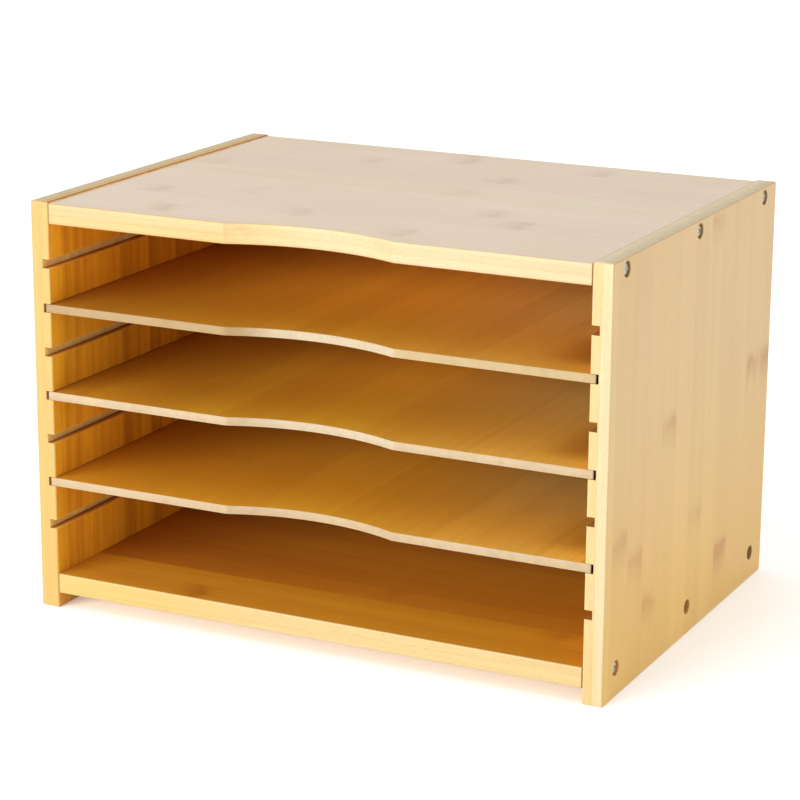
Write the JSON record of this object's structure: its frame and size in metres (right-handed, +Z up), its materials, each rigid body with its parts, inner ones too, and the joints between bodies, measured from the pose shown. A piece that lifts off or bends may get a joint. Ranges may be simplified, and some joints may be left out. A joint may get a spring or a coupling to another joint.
{
  "type": "desktop file sorter",
  "caption": "Bamboo desktop paper organiser: an open-fronted box with thin sliding shelves, each with a finger scoop in its front edge, held in grooves in the sides.",
  "frame": {"origin": "on the desk, in the middle of the footprint", "axes": "+X to the right along the width, +Y to the back, +Z up; the open front faces -Y"},
  "size_m": [0.33, 0.238, 0.225],
  "materials": {
    "bamboo": "satin lacquer",
    "shelf_board": "satin lacquer",
    "back_board": "satin",
    "screw": "zinc plated"
  },
  "bodies": {
    "case": {"left_side_panel": "bamboo", "right_side_panel": "bamboo", "top_panel": "bamboo", "bottom_panel": "bamboo", "back_panel": "back_board", "screw_left_lower_front": "screw", "screw_left_lower_middle": "screw", "screw_left_lower_rear": "screw", "screw_left_upper_front": "screw", "screw_left_upper_middle": "screw", "screw_left_upper_rear": "screw", "screw_right_lower_front": "screw", "screw_right_lower_middle": "screw", "screw_right_lower_rear": "screw", "screw_right_upper_front": "screw", "screw_right_upper_middle": "screw", "screw_right_upper_rear": "screw"},
    "lower_shelf": {"shelf_lower": "shelf_board"},
    "middle_shelf": {"shelf_middle": "shelf_board"},
    "upper_shelf": {"shelf_upper": "shelf_board"}
  },
  "joints": [
    {"name": "lower_shelf_slide", "type": "slide", "parent": "case", "child": "lower_shelf", "axis": [0, -1, 0], "range_m": [0, 0.24]},
    {"name": "middle_shelf_slide", "type": "slide", "parent": "case", "child": "middle_shelf", "axis": [0, -1, 0], "range_m": [0, 0.24]},
    {"name": "upper_shelf_slide", "type": "slide", "parent": "case", "child": "upper_shelf", "axis": [0, -1, 0], "range_m": [0, 0.24]}
  ]
}
